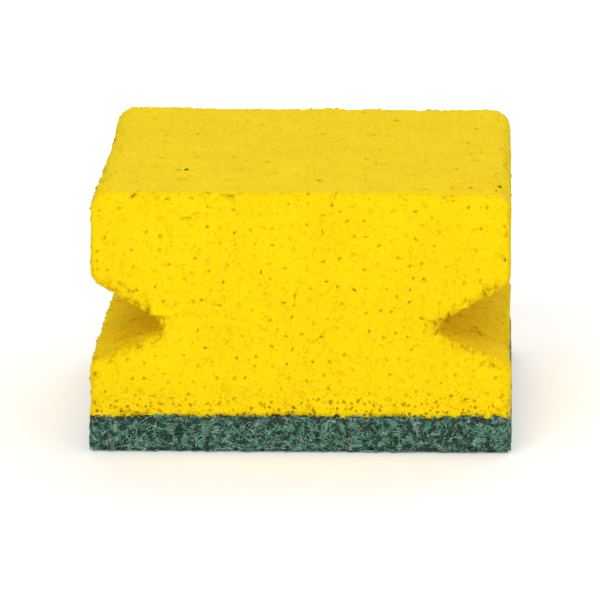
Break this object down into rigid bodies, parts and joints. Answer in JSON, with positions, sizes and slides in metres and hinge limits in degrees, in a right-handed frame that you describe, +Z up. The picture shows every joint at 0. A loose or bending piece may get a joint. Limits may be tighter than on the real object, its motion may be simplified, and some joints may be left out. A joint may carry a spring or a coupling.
{
  "type": "cleaning sponge",
  "caption": "Foam cleaning sponge with a finger groove along each long side, bonded to a fibrous scouring pad.",
  "frame": {"origin": "centre of the scouring pad's lower face, on the surface that the sponge lies on", "axes": "+Z up through the foam, +Y along the finger grooves, +X across them"},
  "size_m": [0.07, 0.095, 0.044],
  "materials": {
    "foam": "matt open-cell polyurethane foam, bright yellow",
    "scour_web": "dark green nylon web, resin-bonded with fine pale abrasive grains"
  },
  "bodies": {
    "root": {"foam_block": "foam", "scour_pad": "scour_web"}
  },
  "joints": []
}
